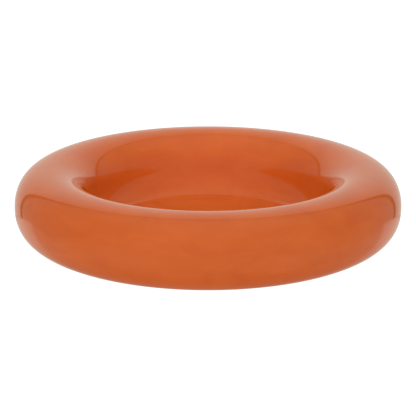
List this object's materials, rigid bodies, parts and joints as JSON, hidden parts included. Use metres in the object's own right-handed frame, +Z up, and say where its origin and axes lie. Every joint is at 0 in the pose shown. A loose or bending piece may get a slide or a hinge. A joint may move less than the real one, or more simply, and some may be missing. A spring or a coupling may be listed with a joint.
{
  "type": "thick-rim bowl",
  "caption": "Low round bowl with a fat, hollow, tube-shaped rim around a shallow flat-floored well, glossy orange glaze, standing on small anti-slip pads.",
  "frame": {"origin": "on the table plane, under the middle of the bowl", "axes": "+Z up, out of the well; X and Y level; the vent plug is at +Y and the pads are at 45, 135, 225 and 315 degrees from +X"},
  "size_m": [0.3, 0.3, 0.0564],
  "materials": {
    "glaze": "glossy",
    "pad_silicone": "matt, translucent",
    "plug_silicone": "matt"
  },
  "bodies": {
    "root": {"upper_shell": "glaze", "lower_shell": "glaze", "vent_plug": "plug_silicone", "foot_pad_1": "pad_silicone", "foot_pad_2": "pad_silicone", "foot_pad_3": "pad_silicone", "foot_pad_4": "pad_silicone"}
  },
  "joints": []
}
